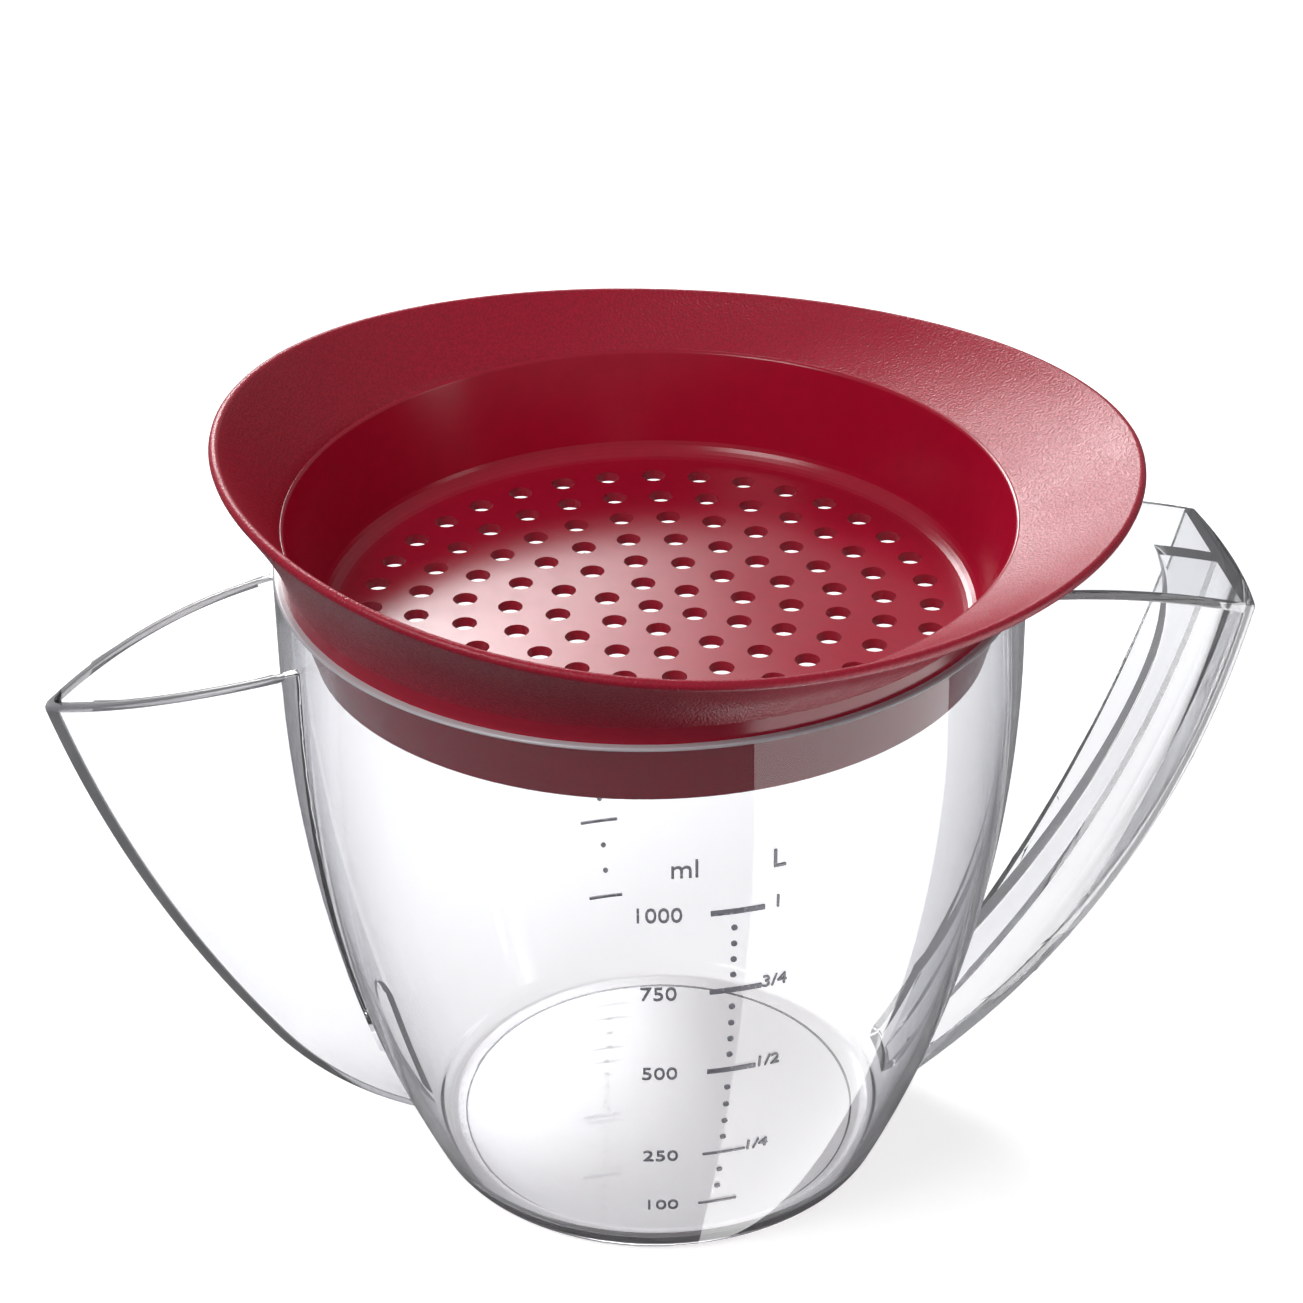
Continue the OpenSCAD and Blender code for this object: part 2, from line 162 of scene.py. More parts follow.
def clear_plastic():
    """Polished clear moulding with faint flow waves. Its tint deepens where the wall is seen end on, partly
    for the longer way through the plastic and partly as painted shade of the darker surroundings, and from
    inside a little light is lost where it meets the surface at a slant."""
    material, tree, shader = new_material("clear_plastic")
    facing = add(tree, "ShaderNodeLayerWeight", Blend=0.5).outputs["Facing"]
    smears = noise(tree, 60.0, 3.0)
    cover(tree, shader, ramp(tree, facing, CLEAR_TINT_AND_EDGE_SHADE), remap(tree, smears, 0.35, 0.7, 0.0, 0.02),
          noise(tree, 26.0, 1.5), strength=0.05, distance=0.0006)
    inside = add(tree, "ShaderNodeNewGeometry").outputs["Backfacing"]
    lost = maths(tree, "MULTIPLY", remap(tree, facing, 0.2, 0.4, 0.0, 0.085), inside)
    tree.links.new(maths(tree, "SUBTRACT", 0.99, lost), shader.inputs["Transmission Weight"])
    shader.inputs["IOR"].default_value = CLEAR_IOR
    return material


def frosted_relief():
    """The same clear plastic where marks and digits stand out: fine frosted, so that they read grey."""
    material, tree, shader = new_material("frosted_relief")
    speckle = noise(tree, 900.0, 2.0)
    cover(tree, shader, ramp(tree, speckle, RELIEF_TINT), remap(tree, speckle, 0.3, 0.7, 0.15, 0.3),
          speckle, strength=0.3, distance=0.0001)
    shader.inputs["IOR"].default_value = CLEAR_IOR
    shader.inputs["Transmission Weight"].default_value = 0.35
    return material


def red_plastic(name, roughness, grain_scale, grain_strength, speckle):
    """Moulded red plastic with a slight colour drift. Its grain also varies the colour and the gloss, by
    the share speckle."""
    material, tree, shader = new_material(name)
    grain = noise(tree, grain_scale, 1.0)
    colour = add(tree, "ShaderNodeHueSaturation", Color=ramp(tree, noise(tree, 14.0, 3.0), RED_TINT),
                 Value=remap(tree, grain, 0.35, 0.65, 1 - speckle, 1 + speckle))
    smears = noise(tree, 40.0, 3.0)
    gloss = maths(tree, "MULTIPLY", remap(tree, smears, 0.3, 0.7, roughness * 0.9, roughness * 1.15),
                  remap(tree, grain, 0.35, 0.65, 1 + speckle, 1 - speckle))
    cover(tree, shader, colour.outputs["Color"], gloss, grain, strength=grain_strength, distance=0.0002)
    shader.inputs["IOR"].default_value = RED_IOR
    shader.inputs["Subsurface Weight"].default_value = RED_SUBSURFACE
    shader.inputs["Subsurface Radius"].default_value = RED_SUBSURFACE_RADIUS
    return material


def rim_edge(name, low, high, transmission):
    """A rounded rim of the clear plastic, given a little frost and a grey to white colour so that it
    catches the light all along: painted highlight where it is pale, painted shade where it is grey, in
    place of the light that a polished rim mirrors and bends. Its greys go from low to high."""
    material, tree, shader = new_material(name)
    rim_drift = noise(tree, 120.0, 3.0)
    tint = ((0.0, (low, low, low * 1.04)), (1.0, (high, high, high * 1.03)))
    cover(tree, shader, ramp(tree, rim_drift, tint), remap(tree, rim_drift, 0.3, 0.7, 0.14, 0.26),
          rim_drift, strength=0.08, distance=0.0002)
    shader.inputs["IOR"].default_value = CLEAR_IOR
    shader.inputs["Transmission Weight"].default_value = transmission
    return material


def dress(nodes, material):
    """Gives nodes of the CAD part that material."""
    for name in nodes:
        for slot in frame["nodes"][name].material_slots:
            slot.material = material


CLEAR = clear_plastic()
# Painted highlight on the jug's rim, and painted shade on the spout's rim
RIM_PAINTED_HIGHLIGHT = rim_edge("rim_edge", low=0.86, high=0.95, transmission=0.35)
SPOUT_PAINTED_SHADE = rim_edge("spout_painted_shade", low=0.40, high=0.52, transmission=0.45)
RELIEF = frosted_relief()
RED_GLOSS = red_plastic("red_gloss", roughness=0.20, grain_scale=300.0, grain_strength=0.02, speckle=0.03)
RED_MATTE = red_plastic("red_matte", roughness=0.37, grain_scale=2100.0, grain_strength=0.55, speckle=0.15)

CLEAR_NODES = ("jug_wall", "jug_base", "spout", "handle_arm", "handle_grip", "handle_rib")

dress(CLEAR_NODES, CLEAR)
dress(["scale_front", "scale_back"], RELIEF)
dress(["strainer_bowl", "strainer_floor"], RED_GLOSS)
dress(["strainer_flange"], RED_MATTE)


# ---- the clear moulding, from the sizes of the CAD part, in millimetres and degrees ----

# Jug: its wall is a straight mouth over one arc
RIM, HEIGHT, CURVE_START, WALL_ARCH, WALL, BASE = 69, 128, 110, 259, 2.2, 3.2
FOOT_ROUND, FLOOR_FILLET, RING_WIDTH, RECESS, EDGE = 3.5, 5, 3, 0.8, 0.5
ARCH_CENTRE = (RIM - WALL_ARCH, CURVE_START)
MOUTH_MIDDLE = (CURVE_START + HEIGHT) / 2

# Spout: a leaf-shaped section on a keel of two arcs, under an arched rim; places are (x, z)
TIP, SPOUT_RIM, SPOUT_ARCH = (-112.2, 107.2), (-69, 119.6), 230
SPOUT_HALF, SPOUT_DEPTH, KEEL_ROUND, KEEL_WALL = 19.3, 48, 2.2, 3
KEEL_LEAN, KEEL_LENGTH, KEEL_UPPER, KEEL_LOWER = 15.1, 86.7, 249, 64
KEEL_BEFORE, KEEL_END = 8, 80
PASSAGE_WIDTH, PASSAGE_TOP, PASSAGE_SILL, PASSAGE_INSET = 18, 36, 0.1, 0.03

# Handle: an arched arm, a crowned grip and a rib, inside one outline
ARM_ROOT, CORNER, ARM_ARCH, ARM_THICKNESS = (69, 122.4), (110, 115.4), 170, 2
GRIP_RADIUS, GRIP_FOOT, GRIP_EDGE, GRIP_CROWN = 218.3, (58.9, 20), 2, 100
HANDLE_HALF, HANDLE_WIDEST, HANDLE_FLANK, HANDLE_END = 19.8, 100, 340, 6
RIB, RIB_TOP, RIB_FOOT, RIB_GUSSET, GUSSET_POWER = 4, 3, 8, 10, 12

# Where cutting bodies and hidden ends reach to: past the outside, or into the body's solid
BEYOND = 1.0
UNDER = -20
SPOUT_SPAN, SPOUT_CUT_HALF = (-125, -30), 30
PASSAGE_SPAN = (-100, -38)
ARM_SPAN, ARM_CUT_HALF = (30, 120), 40
ARM_INSIDE, RIB_INSIDE = 50, 44
GRIP_SWEEP = (-60, 0)
HANDLE_SPAN, HANDLE_TOP = (0, 150), 130

# Rounded edges
EDGE_ROUND, SPOUT_ROUND, ROUNDED_ANGLE, SHARP_ANGLE = 0.4, 0.9, 42, 32
SPOUT_RIM_DROP = 2                                       # how far its edges may lie below the tip
PASSAGE_SIDE, PASSAGE_OVER = -35, 60                     # nearer the spout and lower than these, edges stay
WELD, FINE_WELD = 0.03, 0.004


def solid(name, points, faces):
    """A mesh object from points in millimetres."""
    mesh = bpy.data.meshes.new(name)
    mesh.from_pydata([tuple(c * MM for c in p) for p in points], [], faces)
    piece = bpy.data.objects.new(name, mesh)
    bpy.context.scene.collection.objects.link(piece)
    return piece


def grid(rings):
    """Faces between equal closed rings of points, with a cap on the first and the last."""
    count = len(rings[0])
    faces = [(i * count + j, i * count + (j + 1) % count, (i + 1) * count + (j + 1) % count,
              (i + 1) * count + j) for i in range(len(rings) - 1) for j in range(count)]
    last = (len(rings) - 1) * count
    return faces + [tuple(range(count))[::-1], tuple(range(last, last + count))]


def loft(name, rings):
    """Closed body through equal rings of points."""
    return outwards(solid(name, [p for ring in rings for p in ring], grid(rings)))


def outwards(piece):
    """Turns all faces to look outwards."""
    mesh = bmesh.new()
    mesh.from_mesh(piece.data)
    bmesh.ops.recalc_face_normals(mesh, faces=mesh.faces)
    mesh.to_mesh(piece.data)
    mesh.free()
    return piece


def lathe(name, profile, steps=192):
    """Body of revolution of a profile that starts and ends on the axis."""
    inner = profile[1:-1]
    points = [(0, 0, profile[0][1])]
    for k in range(steps):
        a = 2 * math.pi * k / steps
        points += [(r * math.cos(a), r * math.sin(a), z) for r, z in inner]
    points.append((0, 0, profile[-1][1]))
    count, top = len(inner), len(points) - 1
    faces = []
    for k in range(steps):
        a, b = 1 + k * count, 1 + (k + 1) % steps * count
        faces.append((0, b, a))
        faces += [(a + j, b + j, b + j + 1, a + j + 1) for j in range(count - 1)]
        faces.append((a + count - 1, b + count - 1, top))
    return outwards(solid(name, points, faces))


def prism(name, outline, low, high, along="y"):
    """Straight body of an outline: (x, z) points run along y, or (y, z) points along x."""
    if along == "y":
        return loft(name, [[(x, at, z) for x, z in outline] for at in (low, high)])
    return loft(name, [[(at, y, z) for y, z in outline] for at in (low, high)])


def apply_modifiers(piece):
    bpy.context.view_layer.update()
    mesh = bpy.data.meshes.new_from_object(piece.evaluated_get(bpy.context.evaluated_depsgraph_get()))
    piece.modifiers.clear()
    piece.data = mesh


def cut(piece, other, how, keep=False):
    """Boolean of two bodies, left in the first; the other is removed unless it is kept."""
    modifier = piece.modifiers.new("cut", "BOOLEAN")
    modifier.operation, modifier.object, modifier.solver = how, other, "MANIFOLD"
    apply_modifiers(piece)
    if not keep:
        bpy.data.objects.remove(other)
    return piece


def heading(degrees):
    """Unit vector at that angle."""
    return np.array((math.cos(math.radians(degrees)), math.sin(math.radians(degrees))))


def arc_centre(p, q, radius):
    """Centre of the arc from p to q, on the right of that way."""
    p, q = np.array(p, float), np.array(q, float)
    chord = q - p
    half = np.linalg.norm(chord) / 2
    return (p + q) / 2 + np.array((chord[1], -chord[0])) / (2 * half) * math.sqrt(radius ** 2 - half ** 2)


def wall_curve(inset, low, steps=40, crowding=0.8):
    """Points up the curved wall, from the height low to the start of the curve, closer near the foot."""
    levels = [low + (CURVE_START - low) * (1 - math.cos(math.pi / 2 * i / steps)) ** crowding
              for i in range(steps + 1)]
    return [(ARCH_CENTRE[0] + math.sqrt((WALL_ARCH - inset) ** 2 - (CURVE_START - z) ** 2), z)
            for z in levels]


def foot_curve(z, r, inset, steps=10):
    """Points of the round of radius r between the level z and the wall, or its inside at that inset."""
    across, down = WALL_ARCH - inset - r, CURVE_START - z - r
    centre = (ARCH_CENTRE[0] + math.sqrt(across ** 2 - down ** 2), z + r)
    slope = math.degrees(math.asin(down / across))
    return [tuple(centre + r * heading(-90 + (90 - slope) * i / steps)) for i in range(steps + 1)]


def rounded_rim(r, side):
    """Points over one edge of the jug's rim, from below it to its top: side 1 is outside, -1 inside."""
    return [(r - side * EDGE * (1 - math.cos(a)), HEIGHT - EDGE + EDGE * math.sin(a))
            for a in (0, 0.4, 0.8, 1.2, math.pi / 2)]


def jug_outside():
    """The jug as a full body, with a foot ring round a recess."""
    foot = foot_curve(0, FOOT_ROUND, 0)
    ring = foot[0][0] - RING_WIDTH
    recess = [(0, RECESS), (ring - RECESS, RECESS), (ring - RECESS / 3, RECESS * 0.7), (ring, 0)]
    return lathe("jug_outside", recess + foot + wall_curve(0, foot[-1][1])[1:]
                 + [(RIM, MOUTH_MIDDLE)] + rounded_rim(RIM, 1) + [(0, HEIGHT)])


def jug_inside():
    """The room in the jug, a little higher than its rim."""
    foot = foot_curve(BASE, FLOOR_FILLET, WALL)
    rim = RIM - WALL
    return lathe("jug_inside", [(0, BASE)] + foot + wall_curve(WALL, foot[-1][1])[1:]
                 + [(rim, MOUTH_MIDDLE)] + rounded_rim(rim, -1)
                 + [(rim + EDGE, HEIGHT + BEYOND), (0, HEIGHT + BEYOND)])


def leaf(nose, half_width, depth):
    """Section of the spout as (distance from the keel, sideways) points: a round nose and two bowed
    flanks that leave it along a tangent and run straight back at the depth."""
    flank = ((depth - nose) ** 2 + half_width ** 2 - nose ** 2) / (2 * (half_width - nose))
    tangent = nose - nose * (depth - nose) / (flank - nose)
    turn = math.acos((nose - tangent) / nose)
    side = [(nose - nose * math.cos(a), nose * math.sin(a)) for a in np.linspace(0, turn, 8)]
    side += [(x, half_width - flank + math.sqrt(flank ** 2 - (depth - x) ** 2))
             for x in np.linspace(tangent, depth, 22)[1:]]
    return side + [(x, -y) for x, y in side[:0:-1]]


def keel_sweep(name, section, inset):
    """Sweep of a section along the keel's two arcs, set in by that distance from the keel."""
    join = KEEL_LEAN + math.degrees(KEEL_LENGTH / KEEL_UPPER)
    upper = np.array(TIP) + KEEL_UPPER * heading(KEEL_LEAN)
    lower = upper - KEEL_UPPER * heading(join) + KEEL_LOWER * heading(join)
    stations = [(upper, KEEL_UPPER, a) for a in np.linspace(KEEL_LEAN - KEEL_BEFORE, join, 44)]
    stations += [(lower, KEEL_LOWER, a) for a in np.linspace(join, KEEL_END, 30)[1:]]
    rings = []
    for centre, radius, angle in stations:
        at = [centre - (radius - inset - d) * heading(angle) for d, _ in section]
        rings.append([(p[0], y, p[1]) for p, (_, y) in zip(at, section)])
    return loft(name, rings)


def below_arc(name, centre, radius, span, half):
    """Body under an arc in the mirror plane, over that span of x and as far to both sides."""
    xs = np.linspace(*span, 72)
    top = [(x, centre[1] + math.sqrt(radius ** 2 - (x - centre[0]) ** 2)) for x in xs]
    return prism(name, [(span[0], UNDER)] + top + [(span[1], UNDER)], -half, half)


def spout_outside():
    """The spout as a full body."""
    body = keel_sweep("spout_outside", leaf(KEEL_ROUND, SPOUT_HALF, SPOUT_DEPTH), 0)
    rim = below_arc("spout_rim", arc_centre(TIP, SPOUT_RIM, SPOUT_ARCH), SPOUT_ARCH, SPOUT_SPAN,
                    SPOUT_CUT_HALF)
    return cut(body, rim, "INTERSECT")


def channel(inset):
    """The room in the spout, made smaller by the inset."""
    return keel_sweep("channel", leaf(KEEL_ROUND / 2, SPOUT_HALF - WALL - inset,
                                      SPOUT_DEPTH - KEEL_WALL + BEYOND - inset), KEEL_WALL + inset)


def passage():
    """The arched way from the jug into the spout, a little inside the channel so that no faces meet."""
    half, sill = PASSAGE_WIDTH / 2, BASE + PASSAGE_SILL
    arch = [(half * math.cos(a), PASSAGE_TOP - half + half * math.sin(a))
            for a in np.linspace(0, math.pi, 25)]
    doorway = prism("doorway", [(half, sill)] + arch + [(-half, sill)], *PASSAGE_SPAN, "x")
    return cut(channel(PASSAGE_INSET), doorway, "INTERSECT")


def crowned_grip(centre):
    """The grip, swept round its centre: flat inside, crowned outside, and wider than it ends up."""
    crown = GRIP_RADIUS + GRIP_EDGE - math.sqrt(GRIP_CROWN ** 2 - HANDLE_HALF ** 2)
    ys = np.linspace(-HANDLE_HALF - BEYOND, HANDLE_HALF + BEYOND, 28)
    section = [(GRIP_RADIUS, ys[0])]
    section += [(crown + math.sqrt(GRIP_CROWN ** 2 - y ** 2), y) for y in ys]
    section += [(GRIP_RADIUS, y) for y in ys[:0:-1]]
    rings = []
    for angle in np.linspace(*GRIP_SWEEP, 90):
        way = heading(angle)
        rings.append([(centre[0] + r * way[0], y, centre[1] + r * way[1]) for r, y in section])
    return loft("handle", rings)


def arched_arm(centre):
    """The arm, from inside the jug to inside the grip's edge, and higher than it ends up."""
    xs = np.linspace(ARM_INSIDE, CORNER[0] - GRIP_EDGE / 2, 48)
    under = [(x, centre[1] + math.sqrt((ARM_ARCH - ARM_THICKNESS) ** 2 - (x - centre[0]) ** 2)) for x in xs]
    over = [(x, z + 2 * ARM_THICKNESS) for x, z in under[::-1]]
    return prism("arm", under + over, -HANDLE_HALF - BEYOND, HANDLE_HALF + BEYOND)


def grip_rib(centre):
    """The rib inside the grip, deeper towards its foot and with a gusset under the arm."""
    top = math.degrees(math.atan2(CORNER[1] - centre[1], CORNER[0] - centre[0]))
    foot = math.degrees(math.atan2(-centre[1], RIB_INSIDE - centre[0]))
    inner, outer = [], []
    for t in np.linspace(0, 1, 41):
        depth = RIB_TOP + (RIB_FOOT - RIB_TOP) * t + RIB_GUSSET * (1 - t) ** GUSSET_POWER
        way = heading(top + (foot - top) * t)
        inner.append(tuple(centre + (GRIP_RADIUS - depth) * way))
        outer.append(tuple(centre + (GRIP_RADIUS + BEYOND / 2) * way))
    return prism("rib", inner + outer[::-1], -RIB / 2, RIB / 2)


def handle():
    """Arm, grip and rib as one body, trimmed to the arm's top and to the outline that narrows downwards."""
    arm = arc_centre(ARM_ROOT, CORNER, ARM_ARCH)
    grip = arc_centre((CORNER[0] - GRIP_EDGE, CORNER[1]), GRIP_FOOT, GRIP_RADIUS)
    body = crowned_grip(grip)
    cut(body, arched_arm(arm), "UNION")
    cut(body, grip_rib(grip), "UNION")
    cut(body, below_arc("arm_top", arm, ARM_ARCH, ARM_SPAN, ARM_CUT_HALF), "INTERSECT")
    side = [(HANDLE_HALF - HANDLE_FLANK + math.sqrt(HANDLE_FLANK ** 2 - (z - HANDLE_WIDEST) ** 2), z)
            for z in np.linspace(HANDLE_END, HANDLE_TOP, 72)]
    outline = prism("handle_outline", side + [(-y, z) for y, z in side[::-1]], *HANDLE_SPAN, "x")
    return cut(body, outline, "INTERSECT")


def moulding():
    """The whole jug as one clear body, so that no wall shows inside another."""
    outside = jug_outside()
    tunnel = cut(channel(0), outside, "DIFFERENCE", keep=True)
    body = cut(outside, spout_outside(), "UNION")
    cut(body, handle(), "UNION")
    cut(body, tunnel, "DIFFERENCE")
    cut(body, jug_inside(), "DIFFERENCE")
    cut(body, passage(), "DIFFERENCE")
    body.name = body.data.name = "jug_moulding"
    merge_close(body, WELD)
    round_edges(body)
    smooth(body, SHARP_ANGLE)
    body.data.materials.clear()
    for material in (CLEAR, RIM_PAINTED_HIGHLIGHT, SPOUT_PAINTED_SHADE):
        body.data.materials.append(material)
    spout = arc_centre(TIP, SPOUT_RIM, SPOUT_ARCH)
    # The jug's rim takes the painted highlight (slot 1), the spout's rim the painted shade (slot 2)
    for polygon in body.data.polygons:
        x, y, z = polygon.center / MM
        if z > HEIGHT - EDGE and abs(math.hypot(x, y) - RIM + WALL / 2) < WALL:
            polygon.material_index = 1
        elif x < SPOUT_RIM[0] and math.dist((x, z), spout) > SPOUT_ARCH - SPOUT_ROUND:
            polygon.material_index = 2
    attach(body, "jug")
    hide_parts(*CLEAR_NODES)


def round_edges(piece):
    """Small rounds on the outward edges, and wide ones on the spout's rim, which is rounded right over.
    Edges round the passage stay as they are, because the slivers there would tear."""
    mesh = bmesh.new()
    mesh.from_mesh(piece.data)
    weight = mesh.edges.layers.float.new("bevel_weight_edge")
    for edge in mesh.edges:
        x, _, z = (edge.verts[0].co + edge.verts[1].co) / (2 * MM)
        at_passage = x < PASSAGE_SIDE and z < PASSAGE_OVER
        convex = edge.is_manifold and edge.calc_face_angle_signed(0) > math.radians(ROUNDED_ANGLE)
        if convex and not at_passage:
            on_rim = all(v.co.x < -RIM * MM and v.co.z > (TIP[1] - SPOUT_RIM_DROP) * MM
                         for v in edge.verts)
            edge[weight] = 1 if on_rim else EDGE_ROUND / SPOUT_ROUND
    mesh.to_mesh(piece.data)
    mesh.free()
    modifier = piece.modifiers.new("round", "BEVEL")
    modifier.width, modifier.segments = SPOUT_ROUND * MM, 3
    modifier.limit_method, modifier.use_clamp_overlap = "WEIGHT", False
    apply_modifiers(piece)


def merge_close(piece, distance):
    """Welds points that lie that close together, in millimetres, and clears away what collapses."""
    mesh = bmesh.new()
    mesh.from_mesh(piece.data)
    bmesh.ops.remove_doubles(mesh, verts=mesh.verts, dist=distance * MM)
    bmesh.ops.dissolve_degenerate(mesh, dist=distance / 2 * MM, edges=mesh.edges)
    mesh.to_mesh(piece.data)
    mesh.free()


def smooth(piece, degrees):
    """Smooth shading that keeps edges sharper than that angle."""
    merge_close(piece, FINE_WELD)
    for polygon in piece.data.polygons:
        polygon.use_smooth = True
    piece.data.set_sharp_from_angle(angle=math.radians(degrees))
    modifier = piece.modifiers.new("normals", "WEIGHTED_NORMAL")
    modifier.keep_sharp = True
    apply_modifiers(piece)


moulding()


# ---- the strainer's flange, smooth where the CAD solid has flat panels, in millimetres ----

RING_RADIUS, RING_HEIGHT, NECK_RADIUS, SHOULDER = 66.8, 136.4, 67.55, 1.1
REACH_HANDLE, REACH_SPOUT, FLANGE_HALF, WIDEST = 90.4, 77.3, 77.3, 3
LEVEL_HANDLE, LEVEL_SPOUT, LEVEL_SIDE, ROUNDNESS = 144.8, 155.2, 145.7, 1.91
FLANGE_THICKNESS, SAG = 2, 0.6
ROOT_OVERLAP, ROOT_START = 0.4, (0.3, -0.05)             # where the flange runs into the ring
FLANGE_SHARP_ANGLE = 50


def flange_edge(a):
    """Point of the flange's outer edge at that angle, in degrees."""
    c, s = heading(a)
    reach, power = (REACH_HANDLE - WIDEST, 2 / ROUNDNESS) if c > 0 else (REACH_SPOUT + WIDEST, 1)
    tilt, level = (LEVEL_HANDLE - LEVEL_SPOUT) / 2, (LEVEL_HANDLE + LEVEL_SPOUT) / 2
    mean = (level + LEVEL_SIDE) / 2
    return (WIDEST + reach * math.copysign(abs(c) ** power, c),
            FLANGE_HALF * math.copysign(abs(s) ** power, s),
            mean + tilt * c + (level - mean) * math.cos(math.radians(2 * a)))


def bezier(p, q, r, t):
    """Point of the curve from p to r that bends towards q."""
    return np.array(p) * (1 - t) ** 2 + np.array(q) * 2 * t * (1 - t) + np.array(r) * t ** 2


def flange_section(reach, rise, steps=8):
    """Closed section of the flange, as (distance outwards, height) points from its root."""
    edge = np.array((reach, rise))
    along = edge / np.linalg.norm(edge)
    down = np.array((along[1], -along[0])) * FLANGE_THICKNESS
    top_middle = edge / 2 + down * SAG / FLANGE_THICKNESS
    foot = (NECK_RADIUS - RING_RADIUS - ROOT_OVERLAP, HEIGHT + SHOULDER - RING_HEIGHT)
    foot_middle = (NECK_RADIUS - RING_RADIUS + SHOULDER / 2, SHOULDER / 2)
    half = FLANGE_THICKNESS / 2
    tip = edge + down / 2 - along * half
    points = [foot, (foot[0], -half)]
    points += [bezier(ROOT_START, top_middle, edge - along * half, i / steps) for i in range(steps + 1)]
    points += [tip + half * (along * math.cos(a) - down / FLANGE_THICKNESS * math.sin(a))
               for a in np.radians((60, 30, 0, -30, -60))]
    return points + [bezier(foot, foot_middle, edge - along * half + down, i / steps)
                     for i in range(steps, 0, -1)]


def flange(steps=256):
    """The catching flange: its section, turned once round the ring and stretched to the outer edge."""
    rings = []
    for k in range(steps):
        x, y, z = flange_edge(360 * k / steps)
        root = RING_RADIUS * heading(360 * k / steps)
        way = np.array((x, y)) - root
        length = np.linalg.norm(way)
        rings.append([(*(root + way / length * p[0]), RING_HEIGHT + p[1])
                      for p in flange_section(length, z - RING_HEIGHT)])
    count = len(rings[0])
    faces = [(i * count + j, (i + 1) % steps * count + j, (i + 1) % steps * count + (j + 1) % count,
              i * count + (j + 1) % count) for i in range(steps) for j in range(count)]
    piece = outwards(solid("catching_flange", [p for ring in rings for p in ring], faces))
    smooth(piece, FLANGE_SHARP_ANGLE)
    piece.data.materials.clear()
    piece.data.materials.append(RED_MATTE)
    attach(piece, "strainer")
    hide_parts("strainer_flange")


flange()


# ---- numbers on the scale ----

def radius_at(level):
    """The jug's outer radius at a height, both in metres."""
    z = min(level / MM, CURVE_START)
    return (ARCH_CENTRE[0] + math.sqrt(WALL_ARCH ** 2 - (CURVE_START - z) ** 2)) * MM


def raised_text(name, words, height, z, angle):
    """Raised letters, centred at that height and angle and wrapped on the wall; lengths in metres."""
    curve = bpy.data.curves.new(name, "FONT")
    curve.body = words
    curve.size = height / CAPITAL
    curve.align_x, curve.align_y = "CENTER", "CENTER"
    curve.extrude = (DIGIT_RELIEF + DIGIT_ROOT) / 2
    curve.resolution_u = 3
    flat = bpy.data.objects.new(name + "_flat", curve)
    bpy.context.scene.collection.objects.link(flat)
    bpy.context.view_layer.update()
    mesh = bpy.data.meshes.new_from_object(flat.evaluated_get(bpy.context.evaluated_depsgraph_get()))
    bpy.data.objects.remove(flat)
    for vertex in mesh.vertices:
        level = z + vertex.co.y
        radius = radius_at(level)
        turn = math.radians(angle) + vertex.co.x / radius
        out = radius + vertex.co.z + (DIGIT_RELIEF - DIGIT_ROOT) / 2
        vertex.co = (out * math.cos(turn), out * math.sin(turn), level)
    mesh.materials.append(RELIEF)
    piece = bpy.data.objects.new(name, mesh)
    bpy.context.scene.collection.objects.link(piece)
    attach(piece, "jug")


for volume, mark in MARKS.items():
    raised_text(f"digits_ml_{volume}", str(volume), DIGIT_HEIGHT, mark * MM, ML_ANGLE)
for volume, share in LITRES.items():
    raised_text(f"digits_litre_{volume}", share, DIGIT_HEIGHT * LITRE_DIGIT,
                (MARKS[volume] + LITRE_RAISED) * MM, LITRE_ANGLE)
raised_text("unit_ml", "ml", DIGIT_HEIGHT * UNIT_SIGN, HEADING_HEIGHT * MM, ML_ANGLE + ML_SIGN_SHIFT)
raised_text("unit_litre", "L", DIGIT_HEIGHT * UNIT_SIGN, HEADING_HEIGHT * MM, LITRE_ANGLE)


# ---- studio, in metres ----

WHITE = (1, 1, 1, 1)

# Shares of the white background that mirrored light sees, and light that was led on once or more often
MIRRORED, LED_ONCE, LED_MORE = 0.12, 0.14, 0.50

# Painted reflection: a patch of floor that glows only where outer surfaces mirror it, in place of a white
# card. It lies beyond its edge, counted along the side way, and in front of the back line in y
PATCH_SIDE, PATCH_EDGE, PATCH_BACK, PAINTED_REFLECTION_GLOW = (0.936, 0.352), -0.0155, -0.045, 3.6

FLOOR_SIZE, FLOOR_TINT, FLOOR_DIM = 12, (0.9, 0.9, 0.9, 1), (0.12, 0.12, 0.13, 1)
NEAR_GLOW, FAR_GLOW, GLOW_FROM, GLOW_TO = 0.62, 1.0, 0.35, 1.5
AMBIENT_TINT, AMBIENT = (0.8, 0.82, 0.86, 1), 0.3
LAMP_EDGE, LAMP_AIM = 0.3, (0, 0, 0.1)                   # soft border, as a share of a lamp, and its aim


def plate(name, size):
    """A level square round the origin that belongs to the stage."""
    half = size / 2
    mesh = bpy.data.meshes.new(name)
    mesh.from_pydata([(-half, -half, 0), (half, -half, 0), (half, half, 0), (-half, half, 0)],
                     [], [(0, 1, 2, 3)])
    piece = bpy.data.objects.new(name, mesh)
    bpy.context.scene.collection.objects.link(piece)
    return piece


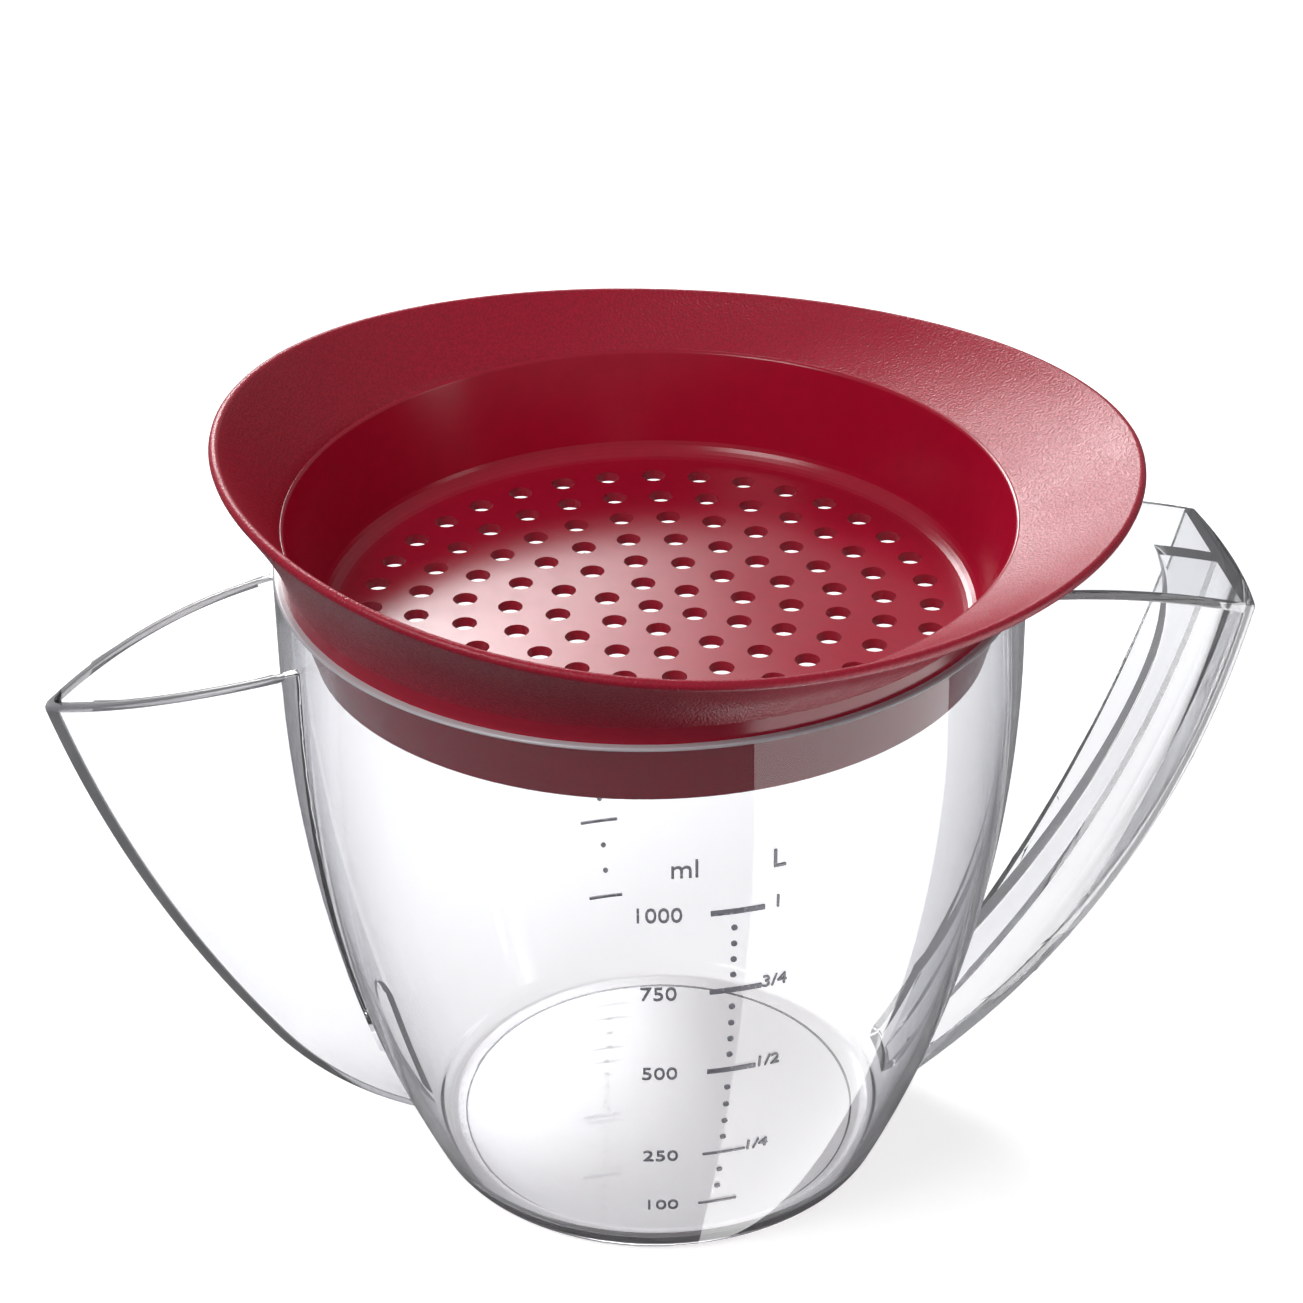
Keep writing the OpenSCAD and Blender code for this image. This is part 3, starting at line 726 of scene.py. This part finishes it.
def background_seen(tree):
    """1 for rays from the camera, also through clear plastic; a share for mirrored and led light."""
    path = add(tree, "ShaderNodeLightPath").outputs
    bounces = maths(tree, "ADD", path["Diffuse Depth"], path["Glossy Depth"])
    straight = maths(tree, "LESS_THAN", bounces, 0.5)
    led = maths(tree, "ADD", maths(tree, "MULTIPLY", maths(tree, "GREATER_THAN", bounces, 0.5), LED_ONCE),
                maths(tree, "MULTIPLY", maths(tree, "GREATER_THAN", bounces, 1.5), LED_MORE))
    through = maths(tree, "MULTIPLY", path["Is Transmission Ray"], maths(tree, "MAXIMUM", straight, led))
    mirrored = maths(tree, "MULTIPLY", path["Is Glossy Ray"], MIRRORED)
    return maths(tree, "MAXIMUM", path["Is Camera Ray"], maths(tree, "MAXIMUM", through, mirrored))


def on_card(tree):
    """1 where the outer surfaces mirror a patch of floor in front, on the right, that glows only there: a
    painted reflection of a white card.
    """
    place = add(tree, "ShaderNodeSeparateXYZ",
                Vector=add(tree, "ShaderNodeTexCoord").outputs["Object"]).outputs
    across = maths(tree, "ADD", maths(tree, "MULTIPLY", place["X"], PATCH_SIDE[0]),
                   maths(tree, "MULTIPLY", place["Y"], PATCH_SIDE[1]))
    inside = maths(tree, "MULTIPLY", maths(tree, "GREATER_THAN", across, PATCH_EDGE),
                   maths(tree, "LESS_THAN", place["Y"], PATCH_BACK))
    path = add(tree, "ShaderNodeLightPath").outputs
    mirrored = maths(tree, "MULTIPLY", path["Is Glossy Ray"],
                     maths(tree, "LESS_THAN", path["Ray Depth"], 1.5))
    return maths(tree, "MULTIPLY", inside, mirrored)


def floor_material():
    """Pale floor: partly self-lit so that it reads as white, with the object's shadow on it. It is dim for
    other light, apart from a patch that glows only in mirrors, a painted reflection, and clear from below."""
    material = bpy.data.materials.new("floor")
    material.use_nodes = True
    tree = material.node_tree
    tree.nodes.clear()
    away = tree.nodes.new("ShaderNodeVectorMath")
    away.operation = "LENGTH"
    tree.links.new(add(tree, "ShaderNodeTexCoord").outputs["Object"], away.inputs[0])
    glow = add(tree, "ShaderNodeEmission", Color=WHITE,
               Strength=remap(tree, away.outputs["Value"], GLOW_FROM, GLOW_TO, NEAR_GLOW, FAR_GLOW))
    seen = add(tree, "ShaderNodeAddShader")
    tree.links.new(add(tree, "ShaderNodeBsdfDiffuse", Color=FLOOR_TINT).outputs[0], seen.inputs[0])
    tree.links.new(glow.outputs[0], seen.inputs[1])
    # the patch that glows only for mirror rays: a painted reflection
    unseen = mix(tree, on_card(tree), add(tree, "ShaderNodeBsdfDiffuse", Color=FLOOR_DIM),
                 add(tree, "ShaderNodeEmission", Color=WHITE, Strength=PAINTED_REFLECTION_GLOW))
    above = mix(tree, background_seen(tree), unseen, seen)
    floor = mix(tree, add(tree, "ShaderNodeNewGeometry").outputs["Backfacing"], above,
                add(tree, "ShaderNodeBsdfTransparent"))
    output = tree.nodes.new("ShaderNodeOutputMaterial")
    tree.links.new(floor.outputs[0], output.inputs["Surface"])
    return material


def world():
    """White where the camera looks or looks through, dim grey as ambient light."""
    scene_world = bpy.data.worlds.new("studio")
    scene_world.use_nodes = True
    bpy.context.scene.world = scene_world
    tree = scene_world.node_tree
    tree.nodes.clear()
    ambient = add(tree, "ShaderNodeBackground", Color=AMBIENT_TINT, Strength=AMBIENT)
    white = add(tree, "ShaderNodeBackground", Color=WHITE, Strength=1.0)
    output = tree.nodes.new("ShaderNodeOutputWorld")
    tree.links.new(mix(tree, background_seen(tree), ambient, white).outputs[0], output.inputs["Surface"])


def soft_edges(tree, strength):
    """Strength that falls off towards the borders of a lamp, so that its mirror image has soft edges."""
    place = add(tree, "ShaderNodeSeparateXYZ",
                Vector=add(tree, "ShaderNodeNewGeometry").outputs["Parametric"]).outputs
    for axis in ("X", "Y"):
        border = maths(tree, "MINIMUM", place[axis], maths(tree, "SUBTRACT", 1, place[axis]))
        strength = maths(tree, "MULTIPLY", strength,
                         maths(tree, "MINIMUM", 1, maths(tree, "DIVIDE", border, LAMP_EDGE)))
    return strength


def area_light(name, place, size, power):
    """A lamp of that width and height, in watts, turned towards the middle of the object."""
    light = bpy.data.lights.new(name, "AREA")
    light.use_nodes = True
    glow = light.node_tree.nodes["Emission"]
    light.node_tree.links.new(soft_edges(light.node_tree, 1.0), glow.inputs["Strength"])
    light.shape = "RECTANGLE"
    light.size, light.size_y = size
    light.energy = power
    lamp = bpy.data.objects.new(name, light)
    lamp.location = place
    lamp.rotation_mode = "QUATERNION"
    lamp.rotation_quaternion = (Vector(LAMP_AIM) - Vector(place)).to_track_quat("-Z", "Y")
    bpy.context.scene.collection.objects.link(lamp)


def camera():
    """The photograph's camera, from its direction, distance and roll."""
    a, e, r = (math.radians(v) for v in (AZIMUTH, ELEVATION, ROLL))
    back = Vector((math.sin(a) * math.cos(e), -math.cos(a) * math.cos(e), math.sin(e)))
    right = Vector((math.cos(a), math.sin(a), 0))
    up = back.cross(right)
    right, up = (right * math.cos(r) + up * math.sin(r)), (up * math.cos(r) - right * math.sin(r))
    data = bpy.data.cameras.new("camera")
    data.lens, data.sensor_width = LENS, SENSOR
    data.clip_start, data.clip_end = NEAR_CLIP, FAR_CLIP
    piece = bpy.data.objects.new("camera", data)
    turn = Matrix((right, up, back)).transposed().to_4x4()
    piece.matrix_world = Matrix.Translation(TARGET + back * DISTANCE) @ turn
    bpy.context.scene.collection.objects.link(piece)
    bpy.context.scene.camera = piece


plate("floor", FLOOR_SIZE).data.materials.append(floor_material())
world()
area_light("key", place=(-0.9, -0.6, 1.3), size=(0.9, 0.9), power=20)
area_light("back", place=(-0.15, 1.28, 0.78), size=(0.8, 0.62), power=25)
area_light("side", place=(1.25, -0.7, 0.3), size=(0.5, 0.5), power=3)
camera()
bpy.context.scene.view_settings.view_transform = "Standard"
